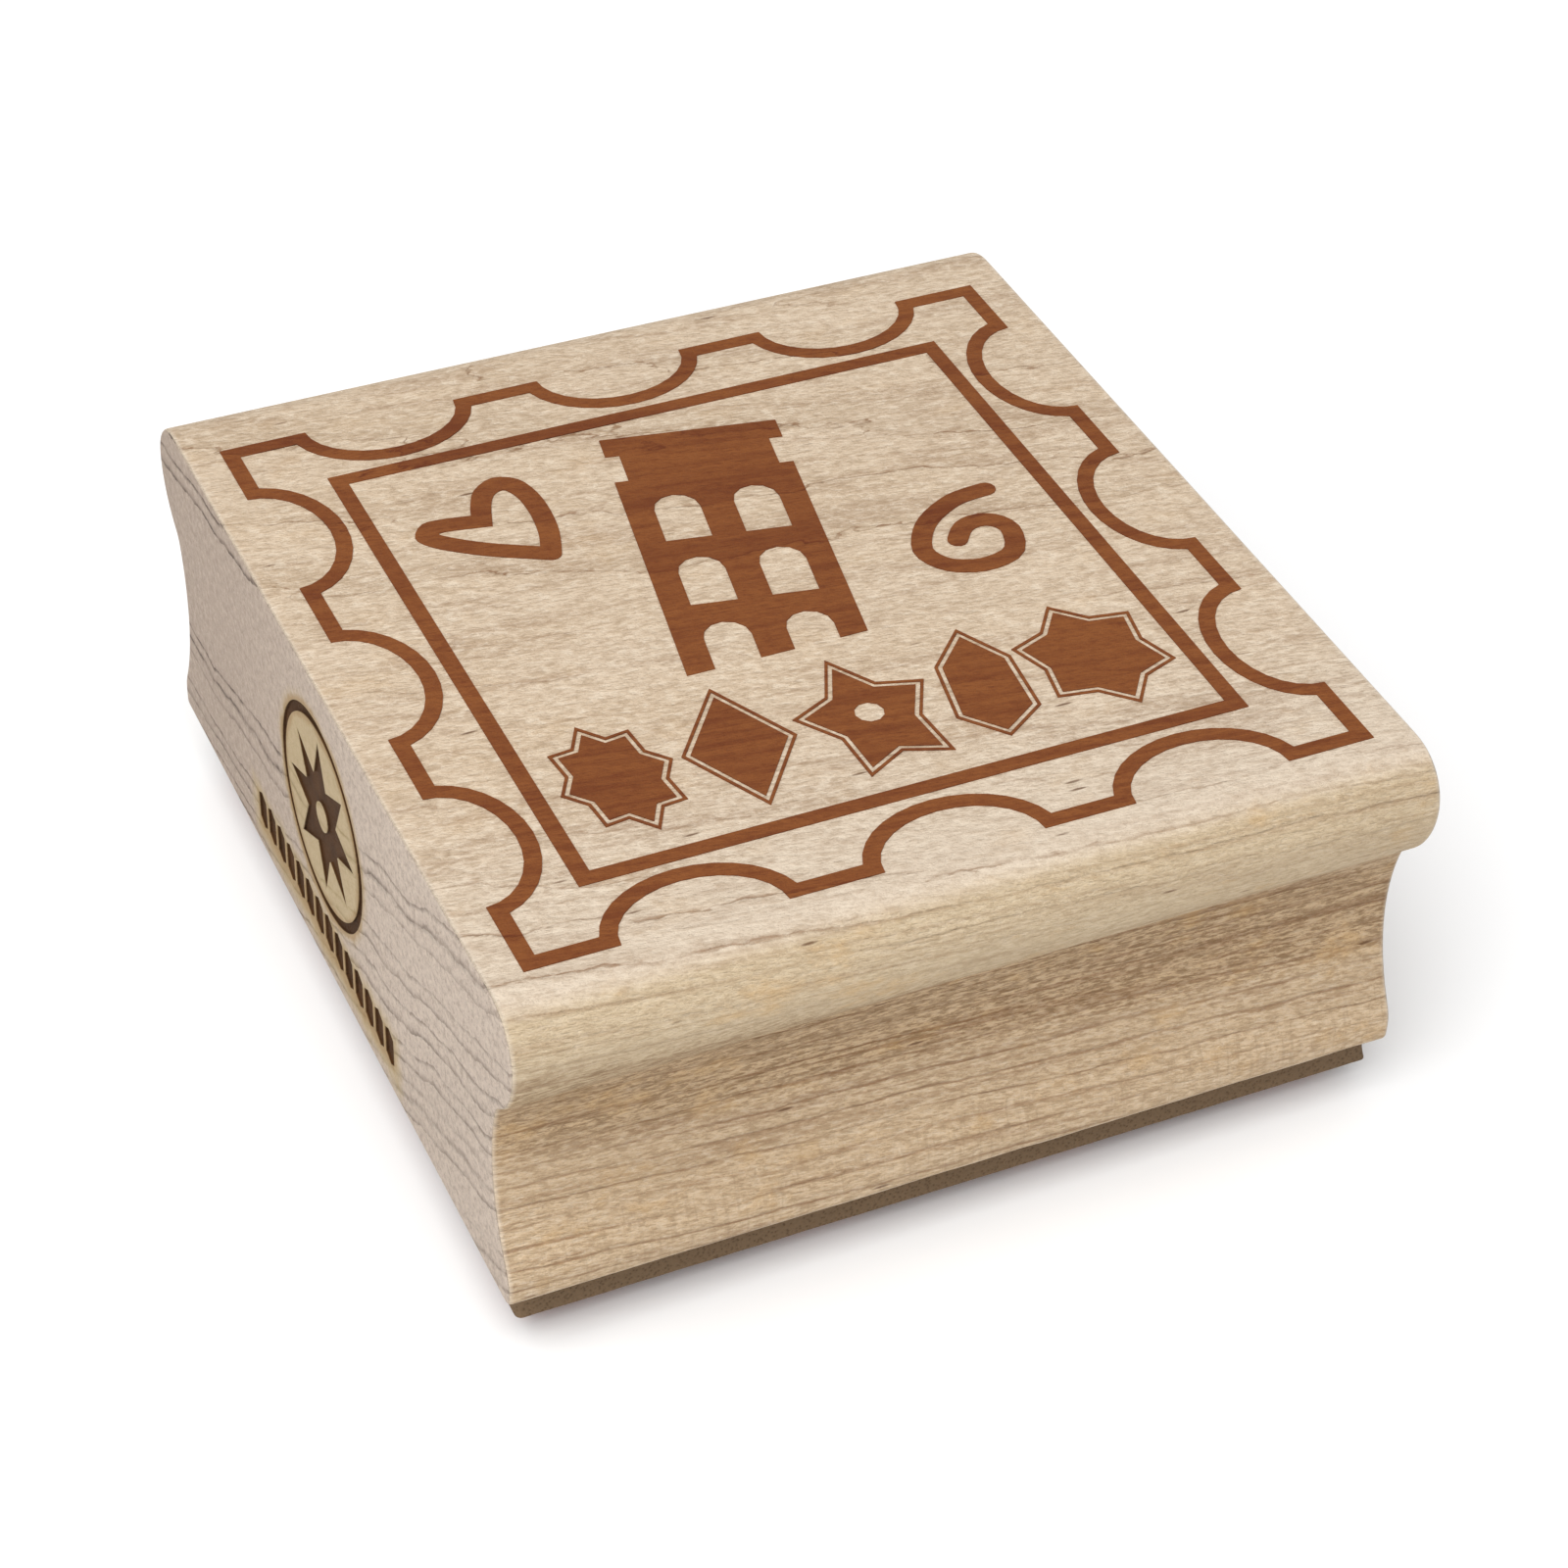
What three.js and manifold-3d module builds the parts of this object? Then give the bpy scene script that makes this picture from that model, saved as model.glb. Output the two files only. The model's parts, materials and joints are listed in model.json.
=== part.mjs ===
// Wood-mounted rubber stamp: a moulded maple block with a printed index picture on its top face,
// a branded mark burnt into its left end, and a foam-backed rubber die under it.
// Millimetres, +Z up. The origin is the middle of the printing face, where the stamp meets the paper.
// X runs along the grain, and the front grip moulding faces -Y.
import * as THREE from 'three';
import { mergeVertices } from 'three/addons/utils/BufferGeometryUtils.js';
import Module from 'manifold-3d';

const wasm = await Module();
wasm.setup();

// ---- driving dimensions ----
const PICTURE = 64;                // side of the square picture
const PICTURE_SHIFT_X = -0.2;      // the printed picture sits a little off the block's middle,
const PICTURE_SHIFT_Y = -1.3;      // towards the front and the marked end
const END_MARGIN = 3;              // wood left beside the picture at each end
const FLAT_MARGIN = 2.1;           // flat wood left before and behind the picture, where the rolls start

const BLOCK_HEIGHT = 27.6;
const ROLL_TOP_RADIUS = 4;         // soft top shoulder of the grip roll
const ROLL_UNDER_RADIUS = 7;       // underside of the grip roll
const ROLL_UNDERCUT = 3.3;         // how far the arris under the roll lies inside the roll
const COVE_SINK = 1.75;            // how far the finger cove bows in between arris and foot
const FOOT_SETBACK = 1.7;          // how far the flared foot stays inside the roll
const FOOT_LAND = 2.5;             // upright land at the foot

const TAPE = 0.1;                  // each layer of adhesive
const FOAM_THICKNESS = 3.2;
const FOAM_INSET_ENDS = 0.75;      // foam trimmed back from the block's ends
const FOAM_SHIFT_X = 0.5;          // and stuck on a little towards the plain end
const FOAM_INSET_SIDES = 1.8;      // foam trimmed back from the feet of the moulding
const RUBBER_BASE = 1.0;
const RELIEF = 1.3;                // how far the printing lines stand out of the rubber base
const RELIEF_ROOT = 0.3;           // relief that runs up into the base, so both are one body
const DIE_MARGIN = 1.0;            // rubber left round the picture
const INK = 0.08;                  // thickness of the index ink on the wood

const MARK_DEPTH = 0.25;           // how deep the burnt mark is sunk into the end grain
const MARK_TOP_MARGIN = 3.3;       // plain wood above the ring
const MARK_GAP = 0.7;              // between the ring and the band under it
const MARK_SHIFT_Y = 0.5;
const RING_LINE = 0.85;
const ROSE_CLEARANCE = 0.9;        // between the ring and the tips of the compass star
const ROSE_WAIST = 0.5;            // inner radius of the compass star as a part of its outer one
const ROSE_EYE = 1.2;
const BAND_LENGTH = 31;
const BAND_HEIGHT = 3.5;
const BAND_BOTTOM = 2.5;
const BAND_SHIFT = -1.1;           // the band sits a little towards the back
const BAND_BEADS = 14;
const BEAD_FILL = 0.84;            // width of a bead as a part of its pitch
const BEAD_POINT = 0.5;            // height of the point at a bead's top and bottom

// The picture is drawn at this size and enlarged or reduced to PICTURE; the sizes below are as drawn.
const DRAWN = 64;
const BORDER_LINE = 1.25;
const BITES = 3;                   // scalloped bites along each side of the border
const BITE_PITCH = 19.1;
const BITE_HALF_WIDTH = 6.05;
const BITE_DEPTH = 4.45;
const FRAME_INSET = 6.45;
const FRAME_LINE = 1.25;

const TOWER_LEAN = 10.1;           // degrees
const TOWER_X = 29.2;              // middle of the tower's foot
const TOWER_Y = 24.8;
const TOWER_WIDTH = 14.0;
const TOWER_HEIGHT = 23.2;
const TOWER_NECK = 11.8;
const TOWER_NECK_HEIGHT = 3.45;
const TOWER_CAP_HEIGHT = 2.3;
const WINDOW_WIDTH = 3.55;
const WINDOW_HEIGHT = 5.8;
const WINDOW_SPACING = 6.15;
const WINDOW_PITCH = 8.13;
const WINDOW_ROWS = 2;             // rows of whole windows above the open doorways
const WINDOW_DROP = 1.28;          // how far each sill lies under its storey's line
const DOOR_SPRING = 2.7;           // where the doorways' arches start

const STROKE = 1.58;               // hand-drawn lines of the heart and the swirl
const ORNAMENT_MIDDLE = 16.1;      // middle of the row of ornaments, from the picture's front edge
const ORNAMENT_GAP = 1.9;
const SHADOW_GAP = 0.32;           // gap between an ornament and its fine outline
const SHADOW_LINE = 0.24;

// ---- sizes worked out from them ----
const BLOCK_WIDTH = PICTURE + 2 * END_MARGIN;
const BLOCK_DEPTH = PICTURE + 2 * (FLAT_MARGIN + ROLL_TOP_RADIUS);
const FOOT_DEPTH = BLOCK_DEPTH - 2 * FOOT_SETBACK;
const FOAM_WIDTH = BLOCK_WIDTH - 2 * FOAM_INSET_ENDS;
const FOAM_DEPTH = FOOT_DEPTH - 2 * FOAM_INSET_SIDES;
const DIE_SIDE = PICTURE + 2 * DIE_MARGIN;
const RING_BOTTOM = BAND_BOTTOM + BAND_HEIGHT + MARK_GAP;
const RING_RADIUS = (BLOCK_HEIGHT - MARK_TOP_MARGIN - RING_BOTTOM) / 2;

const DIE_HEIGHT = RELIEF + RUBBER_BASE;
const FOAM_BOTTOM = DIE_HEIGHT + TAPE;
const FOAM_TOP = FOAM_BOTTOM + FOAM_THICKNESS;
const BLOCK_BOTTOM = FOAM_TOP + TAPE;
const BLOCK_TOP = BLOCK_BOTTOM + BLOCK_HEIGHT;

// ---- plane geometry helpers ----
const v2 = (x, y) => new THREE.Vector2(x, y);
const rad = THREE.MathUtils.degToRad;

function arc(centre, radius, from, to, steps) {
  return Array.from({ length: steps + 1 }, (_, i) => {
    const a = from + ((to - from) * i) / steps;
    return v2(centre.x + radius * Math.cos(a), centre.y + radius * Math.sin(a));
  });
}

// Arc from a to b that bows to the left of a->b by the given rise.
function bow(a, b, rise, steps) {
  const chord = b.clone().sub(a);
  const half = chord.length() / 2;
  const radius = (half * half + rise * rise) / (2 * rise);
  const left = v2(-chord.y, chord.x).normalize();
  const centre = a.clone().add(b).multiplyScalar(0.5).addScaledVector(left, rise - radius);
  const spread = Math.asin(half / radius);
  const middle = Math.atan2(left.y, left.x);
  return arc(centre, radius, middle + spread, middle - spread, steps);
}

// Moves every side of a closed outline sideways, outwards on a counter-clockwise outline.
function offset(points, distance) {
  return points.map((p, i) => {
    const before = points[(i + points.length - 1) % points.length];
    const after = points[(i + 1) % points.length];
    const a = p.clone().sub(before).normalize();
    const b = after.clone().sub(p).normalize();
    const normal = v2(a.y + b.y, -a.x - b.x).normalize();
    const reach = distance / Math.max(0.5, normal.dot(v2(a.y, -a.x)));
    return p.clone().addScaledVector(normal, reach);
  });
}

// Round outer corner at a point of a counter-clockwise outline that is moved outwards.
function roundJoin(before, corner, after, radius) {
  const a = corner.clone().sub(before);
  const b = after.clone().sub(corner);
  const from = Math.atan2(-a.x, a.y);
  const turn = THREE.MathUtils.euclideanModulo(Math.atan2(-b.x, b.y) - from, 2 * Math.PI);
  return arc(corner, radius, from, from + turn, 6);
}

// Smooth run through points.
const smooth = (points, steps) => new THREE.SplineCurve(points).getPoints(steps);

const place = (points, dx, dy, angle = 0) => {
  const origin = v2(0, 0);
  return points.map((p) => p.clone().rotateAround(origin, angle).add(v2(dx, dy)));
};

// The drawing's own coordinates start at its front left corner; this brings it to size, about its middle.
const toSize = (points) => place(points, -DRAWN / 2, -DRAWN / 2)
  .map((p) => p.multiplyScalar(PICTURE / DRAWN));

function star(tips, inner, width, height) {
  const corners = Array.from({ length: 2 * tips }, (_, i) => {
    const a = Math.PI / 2 + (i * Math.PI) / tips;
    const r = i % 2 ? inner : 1;
    return v2(r * Math.cos(a), r * Math.sin(a));
  });
  const box = new THREE.Box2().setFromPoints(corners);
  const size = box.getSize(v2(0, 0));
  const middle = box.getCenter(v2(0, 0));
  return corners.map((p) => v2(
    ((p.x - middle.x) * width) / size.x,
    ((p.y - middle.y) * height) / size.y,
  ));
}

// An upright bar whose top and bottom come to a blunt point, counter-clockwise about its middle.
function tablet(width, height, point) {
  const x = width / 2;
  const shoulder = height / 2 - point;
  return [
    v2(0, height / 2),
    v2(-x, shoulder),
    v2(-x, -shoulder),
    v2(0, -height / 2),
    v2(x, -shoulder),
    v2(x, shoulder),
  ];
}

// ---- the picture: flat shapes, each an outline with its holes ----

// One loop of the scalloped border, moved inwards by inset. Each bite is half an ellipse.
function scallops(inset) {
  const across = BITE_HALF_WIDTH + inset;
  const deep = BITE_DEPTH + inset;
  const start = Math.asin(inset / deep);
  const side = [v2(inset, inset)];
  for (let k = 0; k < BITES; k += 1) {
    const x = DRAWN / 2 + (k - (BITES - 1) / 2) * BITE_PITCH;
    const bite = arc(v2(0, 0), 1, Math.PI - start, start, 14);
    side.push(...bite.map((p) => v2(x + across * p.x, deep * p.y)));
  }
  const loop = [];
  const middle = v2(DRAWN / 2, DRAWN / 2);
  for (let s = 0; s < 4; s += 1) {
    loop.push(...side.map((p) => p.clone().rotateAround(middle, (s * Math.PI) / 2)));
  }
  return loop;
}

function squareLoop(near) {
  const far = DRAWN - near;
  return [v2(near, near), v2(far, near), v2(far, far), v2(near, far)];
}

function archWindow(x, y) {
  const r = WINDOW_WIDTH / 2;
  const spring = y + WINDOW_HEIGHT - r;
  return [v2(x - r, y), v2(x + r, y), ...arc(v2(x, spring), r, 0, Math.PI, 6)];
}

// The leaning tower, drawn upright about the middle of its body's foot and then leaned over.
function tower() {
  const w = TOWER_WIDTH / 2;
  const n = TOWER_NECK / 2;
  const neckTop = TOWER_HEIGHT + TOWER_NECK_HEIGHT;
  const capTop = neckTop + TOWER_CAP_HEIGHT;
  const slope = Math.tan(rad(TOWER_LEAN));
  const foot = (x) => x * slope;
  const bottomWindow = (s) => {
    const c = (s * WINDOW_SPACING) / 2;
    const r = WINDOW_WIDTH / 2;
    return [v2(c - r, foot(c - r)), ...arc(v2(c, DOOR_SPRING), r, Math.PI, 0, 6), v2(c + r, foot(c + r))];
  };
  const outline = [
    v2(-w, foot(-w)), ...bottomWindow(-1), ...bottomWindow(1), v2(w, foot(w)),
    v2(w, TOWER_HEIGHT), v2(n, TOWER_HEIGHT), v2(n, neckTop), v2(w, neckTop),
    v2(w, capTop), v2(-w, capTop), v2(-w, neckTop), v2(-n, neckTop),
    v2(-n, TOWER_HEIGHT), v2(-w, TOWER_HEIGHT),
  ];
  const holes = [];
  for (let row = 1; row <= WINDOW_ROWS; row += 1) {
    for (const s of [-1, 1]) {
      holes.push(archWindow((s * WINDOW_SPACING) / 2, row * WINDOW_PITCH - WINDOW_DROP));
    }
  }
  const lean = (loop) => place(loop, TOWER_X, TOWER_Y, -rad(TOWER_LEAN));
  return { outline: lean(outline), holes: holes.map(lean) };
}

// A lopsided heart, drawn as a line of even width. Its tip and its notch are sharp.
function heart() {
  const tip = v2(18.6, 42.2);
  const notch = v2(15.3, 48.0);
  const rightLobe = [
    v2(19.4, 44.7), v2(19.75, 47.2), v2(19.7, 49.7), v2(19.1, 51.5), v2(18.0, 52.05), v2(16.7, 51.3),
    v2(15.9, 49.8),
  ];
  const leftLobe = [
    v2(14.0, 48.25), v2(12.5, 48.5), v2(11.4, 48.45), v2(10.85, 47.7), v2(11.3, 46.8), v2(13.0, 45.4),
    v2(15.0, 44.1),
  ];
  const knots = [tip, ...rightLobe, notch, ...leftLobe];
  const notchAt = rightLobe.length + 1;
  const loop = (distance) => {
    const moved = offset(knots, distance);
    const join = distance > 0 ? roundJoin(leftLobe.at(-1), tip, rightLobe[0], distance) : [moved[0]];
    const right = smooth([join.at(-1), ...moved.slice(1, notchAt + 1)], 24);
    const left = smooth([...moved.slice(notchAt), join[0]], 24);
    return [...right.slice(0, -1), ...left.slice(0, -1), ...join.slice(0, -1)];
  };
  return { outline: loop(STROKE / 2), holes: [loop(-STROKE / 2)] };
}

// A curl of even width with round ends.
function swirl() {
  const line = smooth([
    v2(52.2, 37.55), v2(50.4, 37.4), v2(48.85, 37.0), v2(46.65, 35.7), v2(45.2, 34.1), v2(44.3, 32.0),
    v2(45.0, 30.15), v2(46.4, 29.2), v2(48.3, 28.85), v2(50.6, 29.6), v2(51.6, 32.0), v2(51.1, 33.5),
    v2(49.8, 34.1), v2(48.4, 33.7), v2(47.3, 32.4),
  ], 40);
  const sides = line.map((p, i) => {
    const before = line[Math.max(i - 1, 0)];
    const after = line[Math.min(i + 1, line.length - 1)];
    const along = after.clone().sub(before).normalize();
    const out = v2(-along.y, along.x).multiplyScalar(STROKE / 2);
    return { p, out, turn: Math.atan2(out.y, out.x) };
  });
  const first = sides[0];
  const last = sides[sides.length - 1];
  return {
    outline: [
      ...sides.map((s) => s.p.clone().add(s.out)),
      ...arc(last.p, STROKE / 2, last.turn, last.turn - Math.PI, 6).slice(1, -1),
      ...sides.map((s) => s.p.clone().sub(s.out)).reverse(),
      ...arc(first.p, STROKE / 2, first.turn + Math.PI, first.turn, 6).slice(1, -1),
    ],
    holes: [],
  };
}

// Five bold ornaments in a row along the front of the picture, from the left.
const ORNAMENTS = [
  { name: 'burst', width: 7.4, height: 10.6, tips: 8, inner: 0.76, tilt: 6, hole: 0 },
  { name: 'diamond', width: 7.2, height: 11.4, tips: 2, inner: 0.68, tilt: -5, hole: 0 },
  { name: 'star', width: 9.0, height: 11.0, tips: 5, inner: 0.6, tilt: 4, hole: 2.2 },
  { name: 'lozenge', width: 5.2, height: 11.0, tips: 3, inner: 0.9, tilt: -8, hole: 0 },
  { name: 'rosette', width: 8.7, height: 11.0, tips: 6, inner: 0.72, tilt: 5, hole: 0 },
];

function ornament(o, x) {
  const body = place(star(o.tips, o.inner, o.width, o.height), x, ORNAMENT_MIDDLE, rad(o.tilt));
  const hole = place(arc(v2(0, 0), o.hole / 2, 0, 2 * Math.PI, 10).slice(0, -1), x, ORNAMENT_MIDDLE);
  const inner = offset(body, SHADOW_GAP);
  const outer = offset(inner, SHADOW_LINE);
  return {
    body: { outline: body, holes: o.hole ? [hole] : [] },
    outline: { outline: outer, holes: [inner] },
  };
}

function pictureShapes() {
  const shapes = {
    border: { outline: scallops(0), holes: [scallops(BORDER_LINE)] },
    frame: { outline: squareLoop(FRAME_INSET), holes: [squareLoop(FRAME_INSET + FRAME_LINE)] },
    tower: tower(),
    heart: heart(),
    swirl: swirl(),
  };
  const row = ORNAMENTS.reduce((sum, o) => sum + o.width + ORNAMENT_GAP, -ORNAMENT_GAP);
  let x = (DRAWN - row) / 2;
  for (const o of ORNAMENTS) {
    const { body, outline } = ornament(o, x + o.width / 2);
    x += o.width + ORNAMENT_GAP;
    shapes[o.name] = body;
    shapes[`${o.name}_outline`] = outline;
  }
  return shapes;
}

// ---- solids ----
function extrude({ outline, holes }, thickness, bottom) {
  const shape = new THREE.Shape(outline);
  shape.holes = holes.map((h) => new THREE.Path(h));
  const geometry = new THREE.ExtrudeGeometry(shape, { depth: thickness, bevelEnabled: false });
  return geometry.translate(0, 0, bottom);
}

function toSolid(geometry) {
  const bare = geometry.clone();
  bare.deleteAttribute('normal');
  bare.deleteAttribute('uv');
  const merged = mergeVertices(bare, 1e-4);
  return new wasm.Manifold(new wasm.Mesh({
    numProp: 3,
    vertProperties: new Float32Array(merged.attributes.position.array),
    triVerts: new Uint32Array(merged.index.array),
  }));
}

function toGeometry(solid) {
  const mesh = solid.getMesh();
  const geometry = new THREE.BufferGeometry();
  geometry.setAttribute('position', new THREE.BufferAttribute(mesh.vertProperties, 3));
  geometry.setIndex(new THREE.BufferAttribute(mesh.triVerts, 1));
  geometry.computeVertexNormals();
  return geometry;
}

// Half of the moulding's section, from the underside up to the top, as distance out and height.
function mouldingHalf() {
  const roll = BLOCK_DEPTH / 2;
  const foot = FOOT_DEPTH / 2;
  const rollHeight = BLOCK_HEIGHT - ROLL_TOP_RADIUS;
  const drop = Math.acos((ROLL_UNDER_RADIUS - ROLL_UNDERCUT) / ROLL_UNDER_RADIUS);
  const under = arc(v2(roll - ROLL_UNDER_RADIUS, rollHeight), ROLL_UNDER_RADIUS, -drop, 0, 8);
  const over = arc(v2(roll - ROLL_TOP_RADIUS, rollHeight), ROLL_TOP_RADIUS, 0, Math.PI / 2, 8);
  const cove = bow(v2(foot, FOOT_LAND), under[0], COVE_SINK, 12);
  return [v2(foot, 0), ...cove.slice(0, -1), ...under.slice(0, -1), ...over];
}

function woodBlock() {
  const half = mouldingHalf();
  const other = half.map((p) => v2(-p.x, p.y)).reverse();
  const section = new THREE.Shape([...half, ...other]);
  const block = new THREE.ExtrudeGeometry(section, { depth: BLOCK_WIDTH, bevelEnabled: false });
  // The section's plane turns to face along X: out becomes Y, height becomes Z.
  block.applyMatrix4(new THREE.Matrix4().makeBasis(
    new THREE.Vector3(0, 1, 0), new THREE.Vector3(0, 0, 1), new THREE.Vector3(1, 0, 0),
  ));
  block.translate(-BLOCK_WIDTH / 2, 0, BLOCK_BOTTOM);
  let solid = toSolid(block);
  for (const shape of endMark()) {
    // Mark shapes are drawn as seen from the left: across is -Y, up is Z.
    const cutter = extrude(shape, MARK_DEPTH + 1, -MARK_DEPTH);
    cutter.applyMatrix4(new THREE.Matrix4().makeBasis(
      new THREE.Vector3(0, -1, 0), new THREE.Vector3(0, 0, 1), new THREE.Vector3(-1, 0, 0),
    ));
    cutter.translate(-BLOCK_WIDTH / 2, MARK_SHIFT_Y, BLOCK_BOTTOM);
    solid = solid.subtract(toSolid(cutter));
  }
  return toGeometry(solid);
}

// The burnt mark: a ring round a compass star, over a band of six-sided beads.
function endMark() {
  const middle = RING_BOTTOM + RING_RADIUS;
  const disc = (r, steps) => place(arc(v2(0, 0), r, 0, 2 * Math.PI, steps).slice(0, -1), 0, middle);
  const roseSize = 2 * (RING_RADIUS - RING_LINE - ROSE_CLEARANCE);
  const marks = [
    { outline: disc(RING_RADIUS, 40), holes: [disc(RING_RADIUS - RING_LINE, 40)] },
    { outline: place(star(8, ROSE_WAIST, roseSize, roseSize), 0, middle), holes: [disc(ROSE_EYE, 12)] },
  ];
  const pitch = BAND_LENGTH / BAND_BEADS;
  const bead = tablet(pitch * BEAD_FILL, BAND_HEIGHT, BEAD_POINT);
  for (let i = 0; i < BAND_BEADS; i += 1) {
    const x = BAND_SHIFT - BAND_LENGTH / 2 + pitch * (i + 0.5);
    marks.push({ outline: place(bead, x, BAND_BOTTOM + BAND_HEIGHT / 2), holes: [] });
  }
  return marks;
}

function slab(width, depth, thickness, bottom, shiftX = 0) {
  return new THREE.BoxGeometry(width, depth, thickness).translate(shiftX, 0, bottom + thickness / 2);
}

function rubberDie(shapes) {
  let die = toSolid(slab(DIE_SIDE, DIE_SIDE, RUBBER_BASE, RELIEF));
  for (const shape of Object.values(shapes)) {
    die = die.add(toSolid(extrude(shape, RELIEF + RELIEF_ROOT, 0)));
  }
  return toGeometry(die);
}

// ---- materials ----
const finish = (color, roughness) => new THREE.MeshStandardMaterial({ color, roughness, metalness: 0 });
const maple = finish(0xd2bb98, 0.62);
const ink = finish(0x6d4a35, 0.7);
const tape = finish(0xd9d2bd, 0.5);
const foam = finish(0x6a563f, 0.95);
const rubber = finish(0x8a4636, 0.75);

// ---- assembly ----
const stamp = new THREE.Group();
const mount = new THREE.Group();
const die = new THREE.Group();
stamp.add(mount, die);

function addMesh(group, name, geometry, material) {
  const mesh = new THREE.Mesh(geometry, material);
  mesh.name = name;
  group.add(mesh);
}

const shapes = pictureShapes();
for (const shape of Object.values(shapes)) {
  shape.outline = toSize(shape.outline);
  shape.holes = shape.holes.map(toSize);
}

addMesh(mount, 'wood_block', woodBlock(), maple);
for (const [name, shape] of Object.entries(shapes)) {
  const print = extrude(shape, INK, BLOCK_TOP).translate(PICTURE_SHIFT_X, PICTURE_SHIFT_Y, 0);
  addMesh(mount, `index_${name}`, print, ink);
}
addMesh(mount, 'block_adhesive', slab(FOAM_WIDTH, FOAM_DEPTH, TAPE, FOAM_TOP, FOAM_SHIFT_X), tape);
const foamSlab = slab(FOAM_WIDTH, FOAM_DEPTH, FOAM_THICKNESS, FOAM_BOTTOM, FOAM_SHIFT_X);
addMesh(mount, 'foam_cushion', foamSlab, foam);
addMesh(die, 'die_adhesive', slab(DIE_SIDE, DIE_SIDE, TAPE, DIE_HEIGHT), tape);
addMesh(die, 'rubber_die', rubberDie(shapes), rubber);

export default stamp;
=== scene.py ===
"""A wood-mounted rubber stamp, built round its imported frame.

Everything is in metres in the frame's own axes: X along the wood grain, -Y the front grip, Z = 0 the
printing face. The sizes that only a maker would know, such as the radii of the grip moulding, are the
named values below; every place comes from the frame.
"""
import json
import math

import bmesh
import bpy
from mathutils import Matrix, Vector, noise


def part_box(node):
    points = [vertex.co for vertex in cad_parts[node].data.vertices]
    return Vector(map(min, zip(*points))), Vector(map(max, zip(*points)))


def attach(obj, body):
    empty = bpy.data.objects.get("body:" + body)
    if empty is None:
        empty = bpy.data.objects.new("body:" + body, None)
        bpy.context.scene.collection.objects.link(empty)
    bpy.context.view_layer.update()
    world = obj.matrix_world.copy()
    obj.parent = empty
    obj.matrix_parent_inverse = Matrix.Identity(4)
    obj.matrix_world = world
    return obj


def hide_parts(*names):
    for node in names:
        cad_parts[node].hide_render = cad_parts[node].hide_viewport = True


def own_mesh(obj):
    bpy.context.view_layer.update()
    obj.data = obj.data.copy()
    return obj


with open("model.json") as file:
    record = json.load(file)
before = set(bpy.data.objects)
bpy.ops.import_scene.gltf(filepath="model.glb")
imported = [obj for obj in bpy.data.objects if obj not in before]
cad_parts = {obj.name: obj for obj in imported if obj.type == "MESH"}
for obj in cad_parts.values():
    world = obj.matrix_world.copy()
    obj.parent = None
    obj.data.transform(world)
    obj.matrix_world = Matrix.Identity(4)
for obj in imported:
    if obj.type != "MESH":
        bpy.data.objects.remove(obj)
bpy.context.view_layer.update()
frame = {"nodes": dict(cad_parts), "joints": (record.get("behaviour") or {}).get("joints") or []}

MM = 0.001

# ---- places that come from the frame ----
block_low, block_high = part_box("wood_block")
foam_low, foam_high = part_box("foam_cushion")
top_middle = Vector((0, 0, block_high.z))
cushion_press = next(joint for joint in frame["joints"] if joint["name"] == "cushion_press")

# ---- the camera: where it stands from the middle of the block's top, and how it looks ----
CAMERA_OFFSET = Vector((-97.18, -208.2, 168.86)) * MM
CAMERA_AZIMUTH = math.radians(25.44)
CAMERA_ELEVATION = math.radians(39.339)
CAMERA_ROLL = math.radians(1.945)
CAMERA_LENS = 88.83
CAMERA_SENSOR = 36.0

# ---- the studio ----
WORLD_STRENGTH = 0.62
SOFTBOX_PLACE = Vector((-0.32, -0.3, 0.72))
SOFTBOX_AIM = Vector((0, 0, 0.02))
SOFTBOX_WIDTH = 0.8
SOFTBOX_POWER = 8.0
FLOOR_HALF = 2.0

# ---- the grip moulding ----
ROLL_TOP_RADIUS = 4.0 * MM
ROLL_UNDER_RADIUS = 7.0 * MM
ROLL_UNDERCUT = 3.3 * MM
COVE_SINK = 1.75 * MM
FOOT_SETBACK = 1.7 * MM
FOOT_LAND = 2.5 * MM
PROFILE_STEP = 0.4 * MM
ARRIS_PASSES = 3          # rounds of softening that take the sharpness off the moulding's arrises
END_ARRIS = 0.35 * MM     # rounding where the sawn ends meet the moulding
END_ARRIS_STEPS = 4
LENGTH_STEP = 1.0 * MM
RAGGED_HEIGHT = 0.6 * MM  # how far up the foot's edge the saw left it uneven
RAGGED_LIFT = 0.12 * MM
SMOOTH_BELOW = math.radians(30)   # faces that meet at less than this shade as one surface

# ---- the foam's knife-cut edge ----
FOAM_CORNER = 0.5 * MM
FOAM_LAYERS = 10
FOAM_STEP = 0.9 * MM
FOAM_WAIST = 0.22 * MM    # how far its sides pull in at mid-height
FOAM_ROUGHNESS = 0.05 * MM

# ---- the burnt mark on the left end ----
MARK_DEPTH = 0.25 * MM
CUTTER_OVERHANG = 1.0 * MM
MARK_TOP_MARGIN = 3.3 * MM
MARK_GAP = 0.7 * MM
MARK_SHIFT_Y = 0.5 * MM
RING_LINE = 0.85 * MM
ROSE_CLEARANCE = 0.9 * MM
ROSE_WAIST = 0.5
ROSE_EYE = 1.2 * MM
BAND_LENGTH = 31 * MM
BAND_HEIGHT = 3.5 * MM
BAND_BOTTOM = 2.5 * MM
BAND_SHIFT = -1.1 * MM
BAND_BEADS = 14
BEAD_FILL = 0.84
BEAD_POINT = 0.5 * MM
RING_BOTTOM = BAND_BOTTOM + BAND_HEIGHT + MARK_GAP
RING_RADIUS = (block_high.z - block_low.z - MARK_TOP_MARGIN - RING_BOTTOM) / 2
RING_HEIGHT = RING_BOTTOM + RING_RADIUS


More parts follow.
